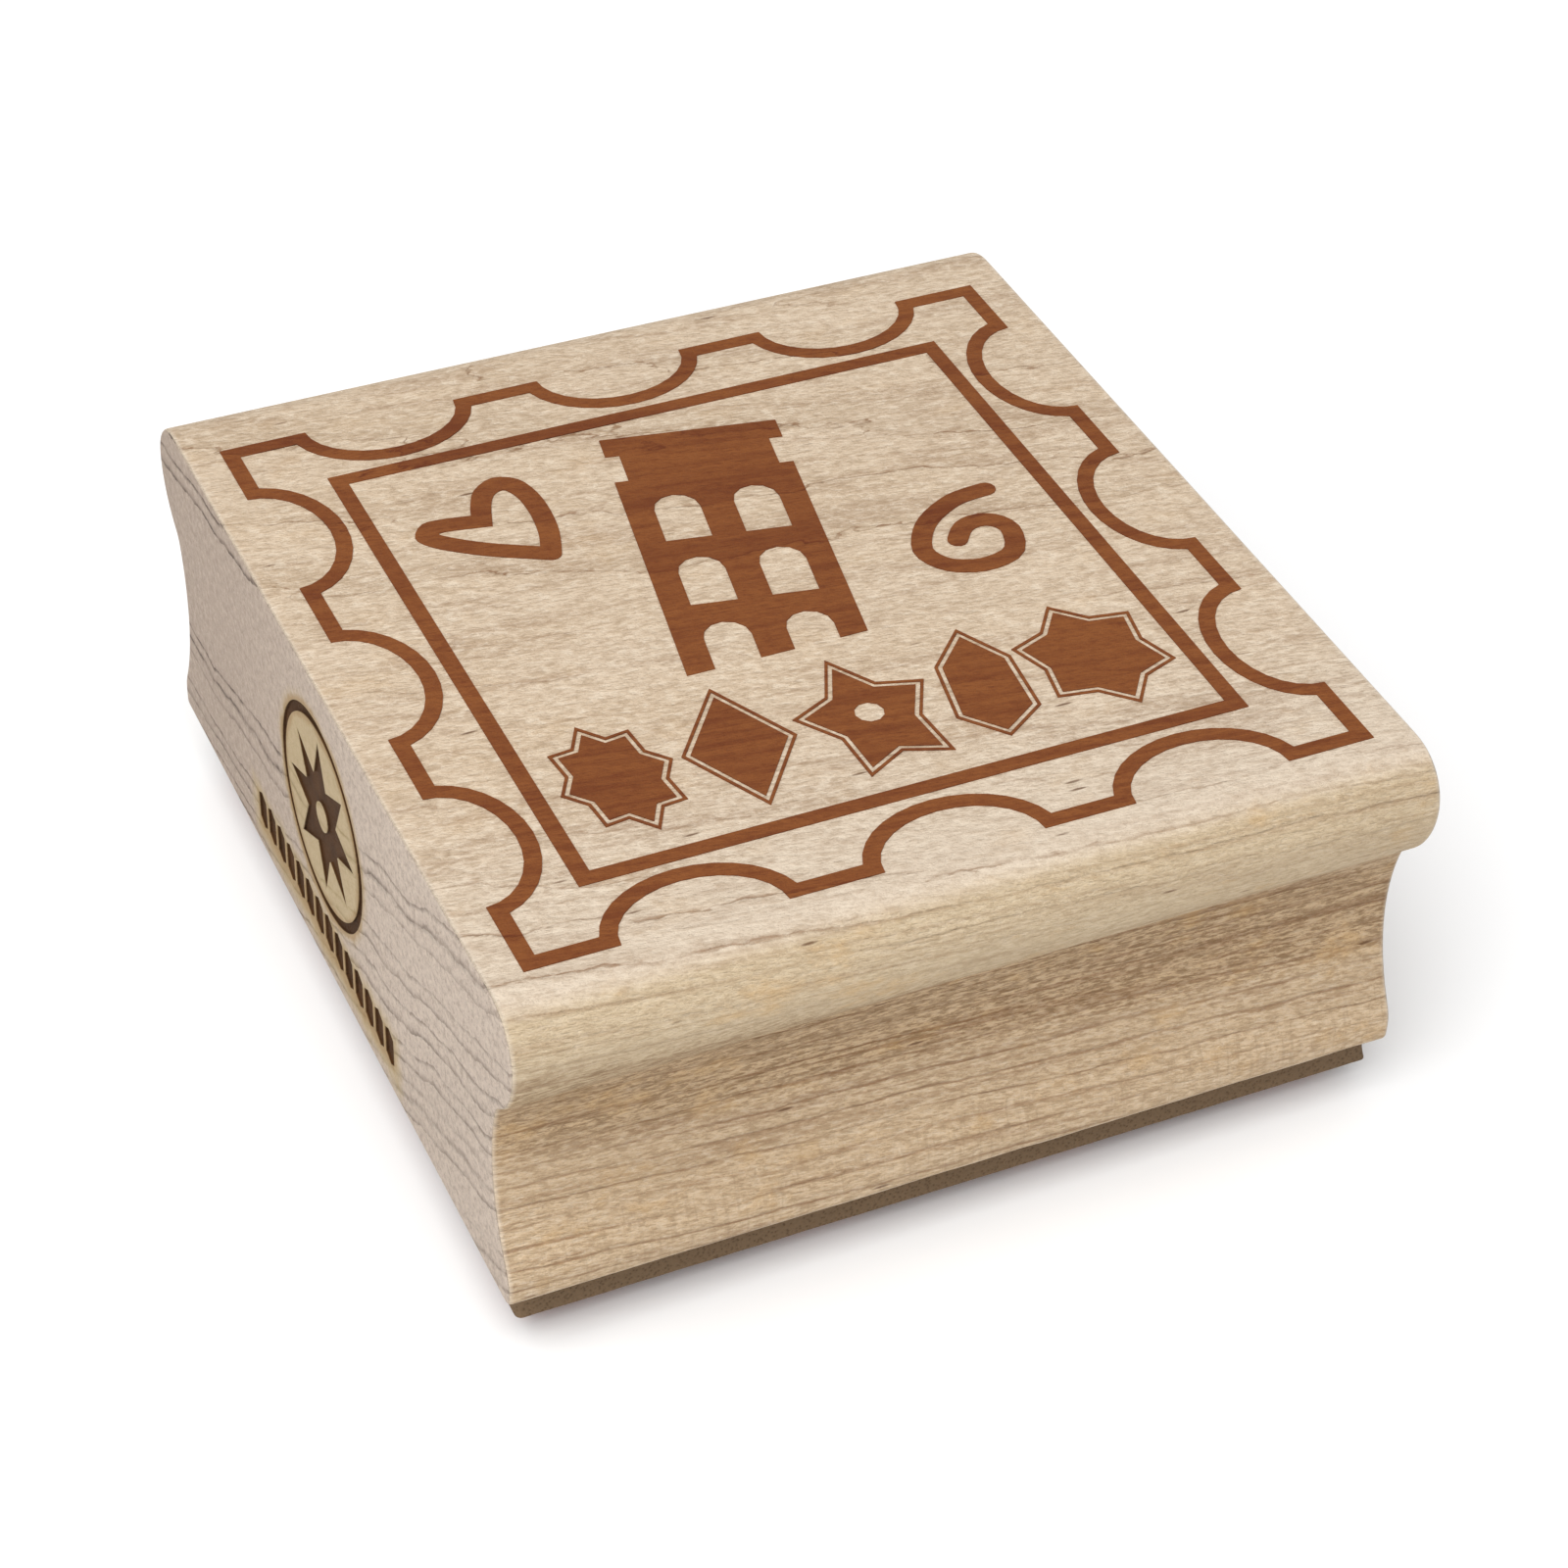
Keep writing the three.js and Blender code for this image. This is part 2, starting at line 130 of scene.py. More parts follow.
# ================= camera, floor and light =================
def add_camera():
    camera = bpy.data.objects.new("camera", bpy.data.cameras.new("camera"))
    camera.data.lens = CAMERA_LENS
    camera.data.sensor_width = CAMERA_SENSOR
    camera.data.clip_start = 0.01
    turn = (
        Matrix.Rotation(-CAMERA_AZIMUTH, 4, "Z")
        @ Matrix.Rotation(math.pi / 2 - CAMERA_ELEVATION, 4, "X")
        @ Matrix.Rotation(CAMERA_ROLL, 4, "Z")
    )
    camera.matrix_world = Matrix.Translation(top_middle + CAMERA_OFFSET) @ turn
    bpy.context.scene.collection.objects.link(camera)
    bpy.context.scene.camera = camera


def add_softbox():
    lamp = bpy.data.lights.new("key_softbox", "AREA")
    lamp.size = SOFTBOX_WIDTH
    lamp.energy = SOFTBOX_POWER
    softbox = bpy.data.objects.new("key_softbox", lamp)
    softbox.location = SOFTBOX_PLACE
    softbox.rotation_euler = (SOFTBOX_AIM - SOFTBOX_PLACE).to_track_quat("-Z", "Y").to_euler()
    bpy.context.scene.collection.objects.link(softbox)


def light_the_room():
    world = bpy.data.worlds.new("studio")
    world.use_nodes = True
    background = world.node_tree.nodes["Background"]
    background.inputs["Color"].default_value = (1, 1, 1, 1)
    background.inputs["Strength"].default_value = WORLD_STRENGTH
    bpy.context.scene.world = world


# ================= shader maths =================
class Wire:
    """A socket of a material. Arithmetic on it adds Math nodes."""

    def __init__(self, bench, socket):
        self.bench = bench
        self.socket = socket

    def math(self, operation, *terms):
        return self.bench.add("Math", {"operation": operation}, dict(enumerate(terms)))

    def __add__(self, other):
        return self.math("ADD", self, other)

    def __sub__(self, other):
        return self.math("SUBTRACT", self, other)

    def __rsub__(self, other):
        return self.math("SUBTRACT", other, self)

    def __mul__(self, other):
        return self.math("MULTIPLY", self, other)

    def __truediv__(self, other):
        return self.math("DIVIDE", self, other)

    def __pow__(self, other):
        return self.math("POWER", self, other)

    __radd__ = __add__
    __rmul__ = __mul__

    def size(self):
        return self.math("ABSOLUTE", self)

    def low(self, other):
        return self.math("MINIMUM", self, other)

    def high(self, other):
        return self.math("MAXIMUM", self, other)


class Bench:
    """One material being made, with its nodes."""

    def __init__(self, name):
        self.material = bpy.data.materials.new(name)
        self.material.use_nodes = True
        self.tree = self.material.node_tree
        self.shader = self.tree.nodes["Principled BSDF"]

    def add(self, kind, settings=None, sockets=None, out=0):
        node = self.tree.nodes.new("ShaderNode" + kind)
        for key, value in (settings or {}).items():
            setattr(node, key, value)
        for key, value in (sockets or {}).items():
            self.feed(node.inputs[key], value)
        return Wire(self, node.outputs[out])

    def feed(self, socket, value):
        if isinstance(value, Wire):
            self.tree.links.new(value.socket, socket)
        elif socket.type == "RGBA" and len(value) == 3:
            socket.default_value = (*value, 1)
        else:
            socket.default_value = value

    def finish(self, **sockets):
        for key, value in sockets.items():
            self.feed(self.shader.inputs[key.replace("_", " ")], value)
        return self.material

    def place(self):
        """Place in the frame, in millimetres."""
        metres = self.add("TexCoord", out="Object")
        return self.scaled(metres, (1 / MM,) * 3)

    def facing(self):
        """The surface's own direction in the frame."""
        return self.add("TexCoord", out="Normal")

    def scaled(self, vector, by):
        return self.add("VectorMath", {"operation": "MULTIPLY"}, {0: vector, 1: by})

    def apart(self, vector):
        node = self.add("SeparateXYZ", sockets={0: vector})
        return [Wire(self, output) for output in node.socket.node.outputs]

    def together(self, x, y, z):
        return self.add("CombineXYZ", sockets={0: x, 1: y, 2: z})

    def cloud(self, vector, stretch, detail=2.0, rough=0.5, seed=0.0):
        """Soft noise from 0 to 1; stretch is its frequency per millimetre along X, Y and Z."""
        at = self.add(
            "VectorMath",
            {"operation": "MULTIPLY_ADD"},
            {0: vector, 1: stretch, 2: (seed, seed * 1.7, seed * 0.6)},
        )
        return self.add(
            "TexNoise", sockets={"Vector": at, "Scale": 1.0, "Detail": detail, "Roughness": rough}
        )

    def step(self, value, low, high):
        """Soft step from 0 at low to 1 at high."""
        return self.add(
            "MapRange",
            {"interpolation_type": "SMOOTHSTEP"},
            {"Value": value, "From Min": low, "From Max": high},
        )

    def mix(self, share, first, second):
        """The first colour with a share of the second over it."""
        settings = {"data_type": "RGBA", "clamp_factor": True}
        return self.add("Mix", settings, {0: share, 6: first, 7: second}, out=2)

    def relief(self, height, strength=1.0):
        """Bump from a height in millimetres."""
        return self.add("Bump", sockets={"Height": height, "Distance": MM, "Strength": strength})


# ================= the wood =================
# Places and sizes here are in millimetres, as the materials work in them.
RING_CENTRE_Y = 58.0      # the tree's middle lies far above the block, behind it
RING_CENTRE_Z = 225.0
RING_WIDTH = 1.7          # one year's growth
GRAIN_TILT = -0.065       # the years run slightly downhill along the block
FIBRE_LEAN = (0.13, 0.065)   # how far the fibres run forward and down for each millimetre along X
YEAR_SWAY = 4.0           # how far the years wander from true circles
YEAR_RIPPLE = 1.5         # how many years' width the small waves of a line take up
LINE_HALF = 0.1           # half the width of a year's dark line on the surface
FACES_END = (0.6, 0.85)   # how squarely a face looks along X before it counts as sawn end
FACES_UP = (0.7, 0.97)    # the same upwards, for the planed top
FRONT_FACE = -36.0        # depth at which the heights of the darker band under the roll are given
DARK_GRAIN_AND_SHADE_BAND = (13.0, 16.5, 22.0, 24.5)   # heights there of the darker band, painted shade under the roll's undercut laid along the years with the wood's own streaks in it: where it starts, is full, fades and stops
ROLL_HEIGHTS = (22.0, 26.5)   # where the milled wood gets smoother, towards the roll
ROLL_SHEEN_HEIGHTS = (22.5, 25.5)   # over these the wood is painted greyer, a painted sheen along the roll's upper edge
FOOT_CHATTER = (17.0, 9.0)    # heights over which the cutter's chatter sets in, going down
TOP_HIGHLIGHT_SPAN = (-12.0, -36.0)     # places along Y over which the top is painted paler towards the front roll, a painted highlight on the roll's top edge
TOP_SMOOTH = (-25.0, -36.0)   # and over which it turns smoother
END_FADE = (-20.0, 25.0)      # places along Y over which the sawn end turns darker towards the back
END_CONTRAST = (-22.0, 8.0)   # and over which its lines get stronger
FOOT = block_low.z / MM
END = block_high.x / MM
MARK_MIDDLE = MARK_SHIFT_Y / MM

TOP_PALE = (0.668, 0.54, 0.409)
TOP_WARM = (0.597, 0.456, 0.314)
TOP_FRONT_HIGHLIGHT = (0.68, 0.584, 0.476)
SIDE_PALE = (0.626, 0.474, 0.312)
SIDE_WARM = (0.571, 0.415, 0.261)
SIDE_SHADE_UNDER_ROLL = (0.54, 0.365, 0.2)
ROLL_SHEEN_GREY = (0.56, 0.48, 0.33)
LATE = (0.33, 0.225, 0.135)
SIDE_MARK = (0.27, 0.17, 0.088)
PALE_FIBRE = (0.8, 0.69, 0.55)
LINE = (0.23, 0.115, 0.05)
END_LINE = (0.104, 0.068, 0.048)
DARK_STREAK = (0.2, 0.115, 0.05)
ORANGE = (0.6, 0.37, 0.15)
FLECK = (0.13, 0.06, 0.025)
END_PALE = (0.617, 0.51, 0.422)
END_BACK = (0.475, 0.376, 0.303)
END_DARK = (0.346, 0.262, 0.205)
ARRIS_HIGHLIGHT = (0.72, 0.64, 0.54)
SCORCH = (0.5, 0.37, 0.16)
SINGED = (0.33, 0.18, 0.06)
CHAR = (0.03, 0.012, 0.003)
CHAR_EDGE = (0.12, 0.05, 0.014)
INK_LIGHT = (0.248, 0.086, 0.0244)
INK_DEEP = (0.195, 0.062, 0.0181)
INK_GRAIN = (0.11, 0.0241, 0.0089)

FOAM_CELL = (0.093, 0.057, 0.03)
FOAM_WALL = (0.166, 0.109, 0.063)
FOAM_CLOUD = (0.117, 0.076, 0.043)
RUBBER_RED = (0.29, 0.085, 0.05)
RUBBER_DEEP = (0.235, 0.065, 0.042)
RUBBER_GRIT = (0.16, 0.045, 0.03)
RUBBER_FACE = (0.33, 0.11, 0.07)
RUBBER_FACE_TOP = 0.35    # height above the printing plane where the cleaner face colour ends
GLUE_PALE = (0.72, 0.66, 0.5)
GLUE_WARM = (0.6, 0.53, 0.38)
FLOOR_PALE = (0.9, 0.9, 0.9)
FLOOR_SOFT = (0.88, 0.88, 0.88)


def depth_at_front(height):
    """Distance from the tree's middle of a point of the front face."""
    return math.hypot(FRONT_FACE - RING_CENTRE_Y, height - RING_CENTRE_Z)


class Grain:
    """The pattern of one piece of maple, worked out once and shared by the bare and the inked wood."""

    def __init__(self, bench):
        self.bench = bench
        self.at = bench.place()
        self.x, self.y, self.z = bench.apart(self.at)
        self.face = bench.apart(bench.facing())
        self.end = bench.step(self.face[0].size(), *FACES_END)
        self.up = bench.step(self.face[2], *FACES_UP)
        self.side = (1 - self.up) * (1 - self.end)
        self.rings()
        self.fibres()

    def rings(self):
        bench = self.bench
        sway = bench.cloud(self.at, (0.012, 0.045, 0.045), 2.0, 0.5, 3.0)
        ripple = bench.cloud(self.at, (0.05, 0.13, 0.13), 5.0, 0.6, 9.0)
        reach_y = self.y - RING_CENTRE_Y
        reach_z = self.z - RING_CENTRE_Z
        radius = (reach_y * reach_y + reach_z * reach_z) ** 0.5
        self.depth = radius + self.x * GRAIN_TILT + sway * YEAR_SWAY
        years = self.depth / RING_WIDTH + ripple * YEAR_RIPPLE
        phase = years.math("FRACT", years)
        year = bench.add("TexWhiteNoise", {"noise_dimensions": "1D"}, {"W": years.math("FLOOR", years)})
        # How steeply the years cross the surface, so that their lines are equally fine on every face.
        facing = (self.face[1] * reach_y + self.face[2] * reach_z) / radius
        crossing = (1 - facing * facing).high(0.02) ** 0.5
        away = (0.5 - (phase - 0.5).size()) * RING_WIDTH / crossing
        jitter = bench.cloud(self.at, (0.6, 1.6, 1.6), 4.0, 0.7, 13.0)
        wide = LINE_HALF * (1 + self.end * 1.5)
        shake = (jitter - 0.5) * (self.up * 0.45 + 0.3)
        thin = 1 - bench.step(away + shake, wide * 0.2, wide * 1.8)
        self.broken = bench.step(bench.cloud(self.at, (0.07, 0.4, 0.4), 4.0, 0.7, 17.0), 0.36, 0.58)
        strength = (year * 0.8 + 0.2) * (1 - self.end) + bench.step(year, 0.3, 0.9) * self.end
        self.line = thin * (self.broken * 0.85 + 0.15).high(self.end * 0.4) * strength
        self.late = bench.step(phase, 0.3, 1.0) * year
        self.tone = bench.cloud(self.at, (0.02, 0.16, 0.16), 3.0, 0.55, 23.0)
        # The darker band under the front roll: painted shade below the roll's undercut, following the
        # years, which also holds the wood's own dark streaks.
        start, full, fade, stop = [depth_at_front(height) for height in DARK_GRAIN_AND_SHADE_BAND]
        self.dark_grain_and_shade = bench.step(self.depth, start, full) * bench.step(self.depth, stop, fade)

    def fibres(self):
        bench = self.bench
        run = bench.together(self.x, self.y + self.x * FIBRE_LEAN[0], self.z + self.x * FIBRE_LEAN[1])
        layers = bench.together(self.x, self.depth, self.y)
        self.layer = bench.cloud(layers, (0.03, 2.6, 0.3), 5.0, 0.72, 5.0)
        contour = bench.cloud(layers, (0.015, 0.9, 0.15), 2.0, 0.5, 83.0)
        self.hair = (1 - bench.step((contour - 0.5).size(), 0.01, 0.06)) * self.broken
        self.streak = bench.cloud(run, (0.22, 3.6, 3.6), 4.0, 0.7, 5.0)
        self.fuzz = bench.cloud(run, (1.0, 4.4, 4.4), 3.0, 0.7, 31.0)
        self.stipple = bench.cloud(run, (0.85, 1.7, 1.7), 5.0, 0.78, 41.0)
        foot = bench.step(self.z, *FOOT_CHATTER)
        self.chatter = bench.cloud(self.at, (3.2, 0.35, 0.35), 2.0, 0.6, 53.0) * foot * self.side
        spots = bench.add(
            "TexVoronoi",
            sockets={"Vector": bench.scaled(self.at, (0.3, 1.7, 1.7)), "Scale": 1.0},
        )
        chance = bench.apart(Wire(bench, spots.socket.node.outputs["Color"]))[0]
        self.fleck = (1 - bench.step(spots, 0.1, 0.28)) * bench.step(chance, 0.975, 0.98)

    def height(self):
        """Fine relief of the sawn and planed wood, in millimetres."""
        planed = (self.stipple * 0.34 + self.fuzz * 0.12) * self.up
        milled = (self.streak * 0.2 + self.layer * 0.1 + self.stipple * 0.24 + self.fuzz * 0.24) * self.side
        sawn = (self.stipple * 0.4 + self.fuzz * 0.15) * self.end
        sunk_line = self.line * (self.end * 0.14 + self.side * 0.06 + 0.06)
        return planed + milled + sawn + self.chatter * 0.06 - sunk_line


def faces_along_grain(bench, grain):
    """Colour of the planed top and the milled sides."""
    top = bench.mix(grain.tone, TOP_PALE, TOP_WARM)
    # Painted highlight: the top turns paler towards the front roll's edge.
    top = bench.mix(bench.step(grain.y, *TOP_HIGHLIGHT_SPAN) * 0.6, top, TOP_FRONT_HIGHLIGHT)
    side = bench.mix(grain.tone, SIDE_PALE, SIDE_WARM)
    # Painted shade: the sides darken in the band under the roll.
    side = bench.mix(grain.dark_grain_and_shade * 0.55, side, SIDE_SHADE_UNDER_ROLL)
    # Painted sheen: the roll's upper edge turns greyer.
    side = bench.mix(bench.step(grain.z, *ROLL_SHEEN_HEIGHTS) * 0.42, side, ROLL_SHEEN_GREY)
    colour = bench.mix(grain.up, side, top)

    worn = bench.step(grain.z, *ROLL_HEIGHTS)
    rough_side = grain.side * (0.6 + grain.dark_grain_and_shade * 0.4) * (1 - worn * 0.35)
    rough_top = grain.up * (1 - bench.step(grain.y, *TOP_SMOOTH) * 0.35)

    def share(on_top, on_side):
        return rough_top * on_top + rough_side * on_side

    short_mark = bench.step(grain.fuzz, 0.5, 0.58)
    long_mark = bench.step(grain.streak, 0.49, 0.64).high(bench.step(grain.layer, 0.5, 0.64))
    colour = bench.mix(grain.late * share(0.26, 0.3), colour, LATE)
    colour = bench.mix(short_mark * share(0.3, 0.0), colour, LATE)
    colour = bench.mix(long_mark * share(0.12, 0.0), colour, LATE)
    colour = bench.mix((short_mark * 0.75).high(long_mark * 0.55) * rough_side, colour, SIDE_MARK)
    colour = bench.mix(bench.step(grain.stipple, 0.5, 0.62) * share(0.34, 0.5), colour, LATE)
    colour = bench.mix(grain.hair * share(0.25, 0.6), colour, LINE)
    pale = 1 - grain.dark_grain_and_shade * 0.7
    colour = bench.mix(bench.step(grain.fuzz, 0.48, 0.36) * share(0.3, 0.38) * pale, colour, PALE_FIBRE)
    colour = bench.mix(bench.step(grain.stipple, 0.48, 0.37) * share(0.45, 0.3) * pale, colour, PALE_FIBRE)
    dark_streak = bench.step(grain.streak, 0.47, 0.6).low(bench.step(grain.fuzz, 0.42, 0.52))
    colour = bench.mix(dark_streak * grain.dark_grain_and_shade * grain.side * 0.55, colour, DARK_STREAK)
    colour = bench.mix(bench.step(grain.chatter, 0.5, 0.7) * 0.3, colour, LATE)
    colour = bench.mix(grain.line * (0.85 - worn * grain.side * 0.5), colour, LINE)
    warm_patch = bench.step(bench.cloud(grain.at, (0.16, 0.3, 0.3), 4.0, 0.65, 57.0), 0.54, 0.72)
    colour = bench.mix(warm_patch * (0.1 + grain.side * 0.25), colour, ORANGE)
    colour = bench.mix(grain.fleck * 0.85, colour, FLECK)
    # Painted highlight: a pale line along the rounded arrises at both ends and along the edge of the foot.
    by_end = bench.step(grain.x.size(), END - 0.5, END - 0.1)
    by_floor = bench.step(grain.z, FOOT + 0.5, FOOT + 0.15)
    return bench.mix(by_end.high(by_floor) * 0.4, colour, ARRIS_HIGHLIGHT)


def sawn_end(bench, grain):
    """Colour of the end grain, with its pores and the years seen across."""
    colour = bench.mix(bench.step(grain.y, *END_FADE), END_PALE, END_BACK)
    pores = bench.cloud(grain.at, (1.0, 1.5, 1.5), 5.0, 0.75, 63.0)
    contrast = bench.step(grain.y, *END_CONTRAST) * 0.4 + 0.6
    colour = bench.mix(bench.step(pores, 0.48, 0.62) * 0.55, colour, END_DARK)
    colour = bench.mix(bench.step(grain.fuzz, 0.5, 0.64) * 0.4, colour, END_DARK)
    colour = bench.mix(bench.step(pores, 0.48, 0.36) * 0.25, colour, PALE_FIBRE)
    colour = bench.mix(grain.late * grain.late * contrast * 0.9, colour, END_DARK)
    return bench.mix(grain.line * contrast, colour, END_LINE)


def maple():
    bench = Bench("maple")
    grain = Grain(bench)
    colour = bench.mix(grain.end, faces_along_grain(bench, grain), sawn_end(bench, grain))
    colour, burnt = burn_in(bench, grain, colour)
    return bench.finish(
        Base_Color=colour,
        Roughness=0.6 + grain.stipple * 0.2 + burnt * 0.15,
        Specular_IOR_Level=0.2,
        Normal=bench.relief(grain.height()),
    )


def burn_in(bench, grain, colour):
    """Scorch round the mark on the left end, and char inside it. Gives the colour and where the char is."""
    ring_z = (block_low.z + RING_HEIGHT) / MM
    band_z = (block_low.z + BAND_BOTTOM + BAND_HEIGHT / 2) / MM
    across = grain.y - MARK_MIDDLE
    up = grain.z - ring_z
    radius = (across * across + up * up) ** 0.5
    wobble = bench.cloud(grain.at, (0.4, 0.4, 0.4), 3.0, 0.6, 71.0)
    off_ring = radius - RING_RADIUS / MM + (wobble - 0.5) * 1.6
    off_band_y = (across + BAND_SHIFT / MM).size() - BAND_LENGTH / 2 / MM
    off_band_z = (grain.z - band_z + 0.5).size() - BAND_HEIGHT / 2 / MM
    off_band = off_band_y.high(off_band_z) + (wobble - 0.5) * 2.0
    halo = (1 - bench.step(off_ring, -0.4, 1.3)).high(1 - bench.step(off_band, -0.3, 2.0))
    to_left = grain.x * -1
    here = bench.step(to_left, END - 0.4, END - 0.3)
    colour = bench.mix(halo * here * 0.62, colour, SCORCH)
    by_ring = 1 - bench.step((off_ring + RING_LINE / 2 / MM).size(), 0.5, 1.1)
    by_band = 1 - bench.step(off_band, -0.6, 0.7)
    colour = bench.mix(by_ring.high(by_band) * here * 0.5, colour, SINGED)
    inside = bench.step(off_ring, 3.0, 1.0).high(bench.step(off_band, 3.0, 1.0))
    sunk = bench.step(to_left, END - 0.025, END - 0.1) * here * inside
    char = bench.mix(wobble, CHAR, CHAR_EDGE)
    return bench.mix(sunk, colour, char), sunk


def ink_on_maple():
    """Flat brown ink that the grain shows through."""
    bench = Bench("index_ink")
    grain = Grain(bench)
    colour = bench.mix(grain.tone, INK_LIGHT, INK_DEEP)
    colour = bench.mix(bench.step(grain.stipple, 0.46, 0.7) * 0.4, colour, INK_GRAIN)
    colour = bench.mix(bench.step(grain.fuzz, 0.45, 0.7) * 0.35, colour, INK_GRAIN)
    colour = bench.mix(bench.step(grain.layer, 0.42, 0.7) * 0.55, colour, INK_GRAIN)
    colour = bench.mix(grain.late * 0.4, colour, INK_GRAIN)
    colour = bench.mix(grain.line * 0.85, colour, INK_GRAIN)
    return bench.finish(
        Base_Color=colour,
        Roughness=0.66 + grain.stipple * 0.15,
        Specular_IOR_Level=0.1,
        Normal=bench.relief(grain.height(), 0.8),
    )


# ================= foam, rubber and adhesive =================
def cushion_foam():
    bench = Bench("cushion_foam")
    at = bench.place()
    cells = bench.add("TexVoronoi", sockets={"Vector": at, "Scale": 3.6})
    wide = bench.cloud(at, (0.2, 0.2, 0.3), 2.0, 0.5, 2.0)
    colour = bench.mix(bench.step(cells, 0.1, 0.5), FOAM_CELL, FOAM_WALL)
    colour = bench.mix(wide * 0.4, colour, FOAM_CLOUD)
    return bench.finish(
        Base_Color=colour,
        Roughness=0.92,
        Specular_IOR_Level=0.2,
        Normal=bench.relief(cells * 0.12, 0.8),
    )


def stamp_rubber():
    bench = Bench("stamp_rubber")
    at = bench.place()
    grit = bench.cloud(at, (4.0, 4.0, 4.0), 4.0, 0.65, 11.0)
    wide = bench.cloud(at, (0.08, 0.08, 0.4), 2.0, 0.5, 4.0)
    face = 1 - bench.step(bench.apart(at)[2], 0.0, RUBBER_FACE_TOP)
    colour = bench.mix(wide, RUBBER_RED, RUBBER_DEEP)
    colour = bench.mix(bench.step(grit, 0.4, 0.7) * 0.35, colour, RUBBER_GRIT)
    colour = bench.mix(face * 0.25, colour, RUBBER_FACE)
    return bench.finish(
        Base_Color=colour,
        Roughness=0.55 + grit * 0.25,
        Specular_IOR_Level=0.4,
        Normal=bench.relief(grit * 0.05, 0.7),
    )


def clear_adhesive():
    bench = Bench("clear_adhesive")
    at = bench.place()
    smear = bench.cloud(at, (0.25, 0.25, 1.0), 3.0, 0.6, 7.0)
    colour = bench.mix(smear, GLUE_PALE, GLUE_WARM)
    return bench.finish(Base_Color=colour, Roughness=0.25 + smear * 0.3)


def pale_floor():
    bench = Bench("pale_floor")
    soft = bench.cloud(bench.place(), (0.02, 0.02, 0.02), 2.0, 0.5, 1.0)
    colour = bench.mix(soft, FLOOR_PALE, FLOOR_SOFT)
    return bench.finish(Base_Color=colour, Roughness=0.7)


# ================= plane outlines =================
def arc(centre, radius, start, end, steps):
    turns = [start + (end - start) * i / steps for i in range(steps + 1)]
    return [Vector((centre[0] + radius * math.cos(a), centre[1] + radius * math.sin(a))) for a in turns]


def bow(first, last, rise, steps):
    """Arc from first to last that bows to the left of the way between them."""
    chord = last - first
    half = chord.length / 2
    radius = (half * half + rise * rise) / (2 * rise)
    left = Vector((-chord.y, chord.x)).normalized()
    centre = (first + last) / 2 + left * (rise - radius)
    spread = math.asin(half / radius)
    middle = math.atan2(left.y, left.x)
    return arc(centre, radius, middle + spread, middle - spread, steps)


def star(tips, inner, width, height):
    corners = []
    for i in range(2 * tips):
        turn = math.pi / 2 + i * math.pi / tips
        reach = inner if i % 2 else 1.0
        corners.append(Vector((reach * math.cos(turn), reach * math.sin(turn))))
    wide = max(c.x for c in corners)
    tall = max(c.y for c in corners)
    return [Vector((c.x * width / 2 / wide, c.y * height / 2 / tall)) for c in corners]


def tablet(width, height, point):
    """An upright bar whose top and bottom come to a blunt point."""
    x, shoulder, tip = width / 2, height / 2 - point, height / 2
    corners = (0, tip), (-x, shoulder), (-x, -shoulder), (0, -tip), (x, -shoulder), (x, shoulder)
    return [Vector(c) for c in corners]


def evenly(loop, step):
    """A closed loop with a point at about every step along it."""
    points = []
    for a, b in zip(loop, loop[1:] + loop[:1]):
        count = max(1, round((b - a).length / step))
        points += [a.lerp(b, i / count) for i in range(count)]
    return points


def softened(loop, passes):
    for _ in range(passes):
        count = len(loop)
        loop = [(loop[i - 1] + loop[i] * 2 + loop[(i + 1) % count]) / 4 for i in range(count)]
    return loop


def moulding_loop():
    """The block's section as distance from the middle and height, counter-clockwise."""
    roll = block_high.y
    foot = roll - FOOT_SETBACK
    height = block_high.z - block_low.z
    roll_height = height - ROLL_TOP_RADIUS
    drop = math.acos((ROLL_UNDER_RADIUS - ROLL_UNDERCUT) / ROLL_UNDER_RADIUS)
    under = arc((roll - ROLL_UNDER_RADIUS, roll_height), ROLL_UNDER_RADIUS, -drop, 0, 24)
    over = arc((roll - ROLL_TOP_RADIUS, roll_height), ROLL_TOP_RADIUS, 0, math.pi / 2, 16)
    cove = bow(Vector((foot, FOOT_LAND)), under[0], COVE_SINK, 32)
    half = [Vector((foot, 0)), *cove[:-1], *under[:-1], *over]
    other = [Vector((-p.x, p.y)) for p in reversed(half)]
    return softened(evenly(half + other, PROFILE_STEP), ARRIS_PASSES)


def inset(loop, distance):
    count = len(loop)
    moved = []
    for i in range(count):
        along = (loop[(i + 1) % count] - loop[i - 1]).normalized()
        moved.append(loop[i] + Vector((-along.y, along.x)) * distance)
    return moved


# ================= pieces =================
def make_piece(name, mesh_code, material):
    bm = bmesh.new()
    mesh_code(bm)
    bmesh.ops.recalc_face_normals(bm, faces=bm.faces)
    mesh = bpy.data.meshes.new(name)
    bm.to_mesh(mesh)
    bm.free()
    piece = bpy.data.objects.new(name, mesh)
    bpy.context.scene.collection.objects.link(piece)
    mesh.materials.append(material)
    return piece


def skin(bm, first, second):
    """Faces between two closed rows of the same number of points."""
    for i in range(len(first)):
        j = (i + 1) % len(first)
        bm.faces.new((first[i], first[j], second[j], second[i]))


def smooth_by_angle(piece):
    mesh = piece.data
    bm = bmesh.new()
    bm.from_mesh(mesh)
    for face in bm.faces:
        face.smooth = True
    for edge in bm.edges:
        edge.smooth = len(edge.link_faces) == 2 and edge.calc_face_angle() < SMOOTH_BELOW
    bm.to_mesh(mesh)
    bm.free()


